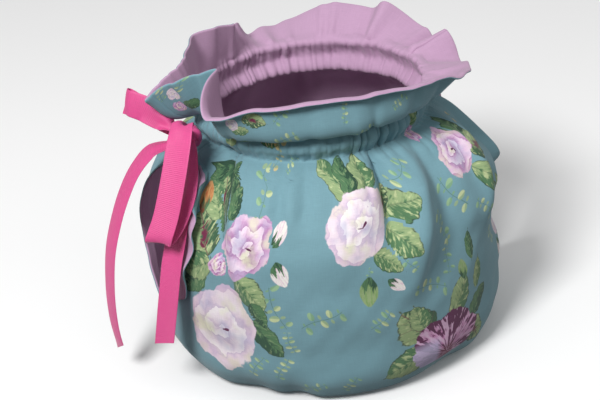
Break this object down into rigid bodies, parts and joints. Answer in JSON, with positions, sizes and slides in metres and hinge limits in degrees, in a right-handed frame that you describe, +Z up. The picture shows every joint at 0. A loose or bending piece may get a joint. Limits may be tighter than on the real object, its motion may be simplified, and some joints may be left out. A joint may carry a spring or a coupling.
{
  "type": "tea cosy",
  "caption": "Wrap-round floral cotton tea cosy with a plain lining, a drawn-in neck under a ruffle, side slits for handle and spout, and a ribbon bow.",
  "frame": {"origin": "middle of the whole piece seen from above, bow included, at the surface it stands on", "axes": "+Z up, -X towards the handle slit and its bow, +X towards the spout slit, -Y towards the front panel"},
  "size_m": [0.2475, 0.2194, 0.1933],
  "materials": {
    "printed_cotton": "plain-woven cotton with a floral print on a dusty teal ground, matt",
    "plain_cotton": "plain-woven pinkish lilac cotton, matt",
    "grosgrain": "bright pink grosgrain ribbon with fine cross ribs, slight sheen"
  },
  "bodies": {
    "root": {"front_panel": "printed_cotton", "back_panel": "printed_cotton", "front_lining": "plain_cotton", "back_lining": "plain_cotton", "ribbon_knot": "grosgrain", "bow_loop_front": "grosgrain", "bow_loop_back": "grosgrain", "ribbon_tail_front": "grosgrain", "ribbon_tail_back": "grosgrain"}
  },
  "joints": []
}
